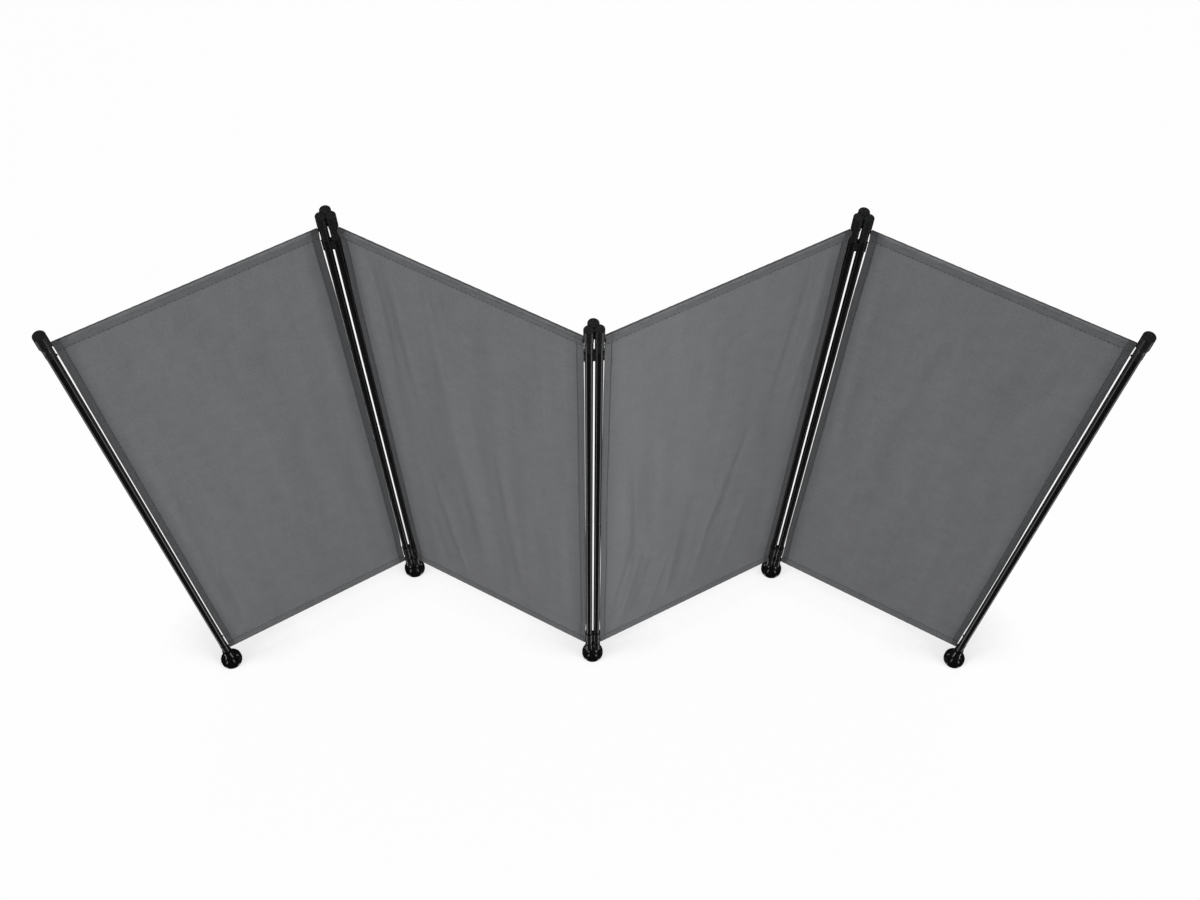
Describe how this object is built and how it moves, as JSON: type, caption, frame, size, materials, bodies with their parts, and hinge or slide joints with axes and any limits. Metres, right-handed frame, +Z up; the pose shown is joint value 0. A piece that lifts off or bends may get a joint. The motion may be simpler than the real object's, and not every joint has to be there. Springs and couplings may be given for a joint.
{
  "type": "folding room divider",
  "caption": "Free-standing folding screen: cloth panels on slim steel tubes, joined edge to edge by moulded hubs and standing on trumpet-shaped feet.",
  "frame": {"origin": "on the floor, under the middle of the screen's outline as it stands in the picture", "axes": "+X to the right along the row of panels seen from the front, +Y to the back (the side with the hubs' rear lobes), +Z up"},
  "size_m": [2.1272, 0.3618, 1.7],
  "materials": {
    "cloth": "plain woven polyester, mid grey, doubled side edges",
    "coated_steel": "black powder coat, satin",
    "bare_steel": "plain steel, only its rim shows",
    "hub_plastic": "black moulded plastic, fine satin grain",
    "foot_plastic": "black moulded plastic, glossy"
  },
  "bodies": {
    "centre_hinge_post": {"centre_hinge_top_hub": "hub_plastic", "centre_hinge_top_clip": "hub_plastic", "centre_hinge_bottom_clip": "hub_plastic", "centre_hinge_bottom_hub": "hub_plastic", "centre_hinge_foot": "foot_plastic"},
    "left_inner_panel": {"left_inner_fabric": "cloth", "left_inner_top_bar": "coated_steel", "left_inner_bottom_bar": "coated_steel", "left_inner_left_upper_tube": "coated_steel", "left_inner_left_lower_tube": "coated_steel", "left_inner_right_upper_tube": "coated_steel", "left_inner_right_lower_tube": "coated_steel", "left_inner_dowels": "bare_steel", "left_inner_top_fittings": "hub_plastic", "left_inner_bottom_fittings": "hub_plastic"},
    "left_hinge_post": {"left_hinge_top_hub": "hub_plastic", "left_hinge_top_clip": "hub_plastic", "left_hinge_bottom_clip": "hub_plastic", "left_hinge_bottom_hub": "hub_plastic", "left_hinge_foot": "foot_plastic"},
    "left_outer_panel": {"left_outer_fabric": "cloth", "left_outer_top_bar": "coated_steel", "left_outer_bottom_bar": "coated_steel", "left_outer_left_upper_tube": "coated_steel", "left_outer_left_lower_tube": "coated_steel", "left_outer_right_upper_tube": "coated_steel", "left_outer_right_lower_tube": "coated_steel", "left_outer_dowels": "bare_steel", "left_outer_top_fittings": "hub_plastic", "left_outer_bottom_fittings": "hub_plastic", "left_end_cap": "hub_plastic", "left_end_foot": "foot_plastic"},
    "right_inner_panel": {"right_inner_fabric": "cloth", "right_inner_top_bar": "coated_steel", "right_inner_bottom_bar": "coated_steel", "right_inner_left_upper_tube": "coated_steel", "right_inner_left_lower_tube": "coated_steel", "right_inner_right_upper_tube": "coated_steel", "right_inner_right_lower_tube": "coated_steel", "right_inner_dowels": "bare_steel", "right_inner_top_fittings": "hub_plastic", "right_inner_bottom_fittings": "hub_plastic"},
    "right_hinge_post": {"right_hinge_top_hub": "hub_plastic", "right_hinge_top_clip": "hub_plastic", "right_hinge_bottom_clip": "hub_plastic", "right_hinge_bottom_hub": "hub_plastic", "right_hinge_foot": "foot_plastic"},
    "right_outer_panel": {"right_outer_fabric": "cloth", "right_outer_top_bar": "coated_steel", "right_outer_bottom_bar": "coated_steel", "right_outer_left_upper_tube": "coated_steel", "right_outer_left_lower_tube": "coated_steel", "right_outer_right_upper_tube": "coated_steel", "right_outer_right_lower_tube": "coated_steel", "right_outer_dowels": "bare_steel", "right_outer_top_fittings": "hub_plastic", "right_outer_bottom_fittings": "hub_plastic", "right_end_cap": "hub_plastic", "right_end_foot": "foot_plastic"}
  },
  "joints": [
    {"name": "left_inner_fold", "type": "hinge", "parent": "centre_hinge_post", "child": "left_inner_panel", "pos_m": [-0.0126, -0.12235, 0.85], "axis": [0, 0, -1], "range_deg": [-120, 20]},
    {"name": "left_hinge_inner_fold", "type": "hinge", "parent": "left_inner_panel", "child": "left_hinge_post", "pos_m": [-0.52048, 0.13642, 0.85], "axis": [0, 0, 1], "range_deg": [-89, 51]},
    {"name": "left_outer_fold", "type": "hinge", "parent": "left_hinge_post", "child": "left_outer_panel", "pos_m": [-0.54048, 0.13361, 0.85], "axis": [0, 0, 1], "range_deg": [-76, 64]},
    {"name": "right_inner_fold", "type": "hinge", "parent": "centre_hinge_post", "child": "right_inner_panel", "pos_m": [0.00745, -0.11989, 0.85], "axis": [0, 0, 1], "range_deg": [-107, 33]},
    {"name": "right_hinge_inner_fold", "type": "hinge", "parent": "right_inner_panel", "child": "right_hinge_post", "pos_m": [0.51073, 0.14771, 0.85], "axis": [0, 0, -1], "range_deg": [-87.5, 52.5]},
    {"name": "right_outer_fold", "type": "hinge", "parent": "right_hinge_post", "child": "right_outer_panel", "pos_m": [0.53083, 0.14577, 0.85], "axis": [0, 0, -1], "range_deg": [-76.5, 63.5]}
  ]
}
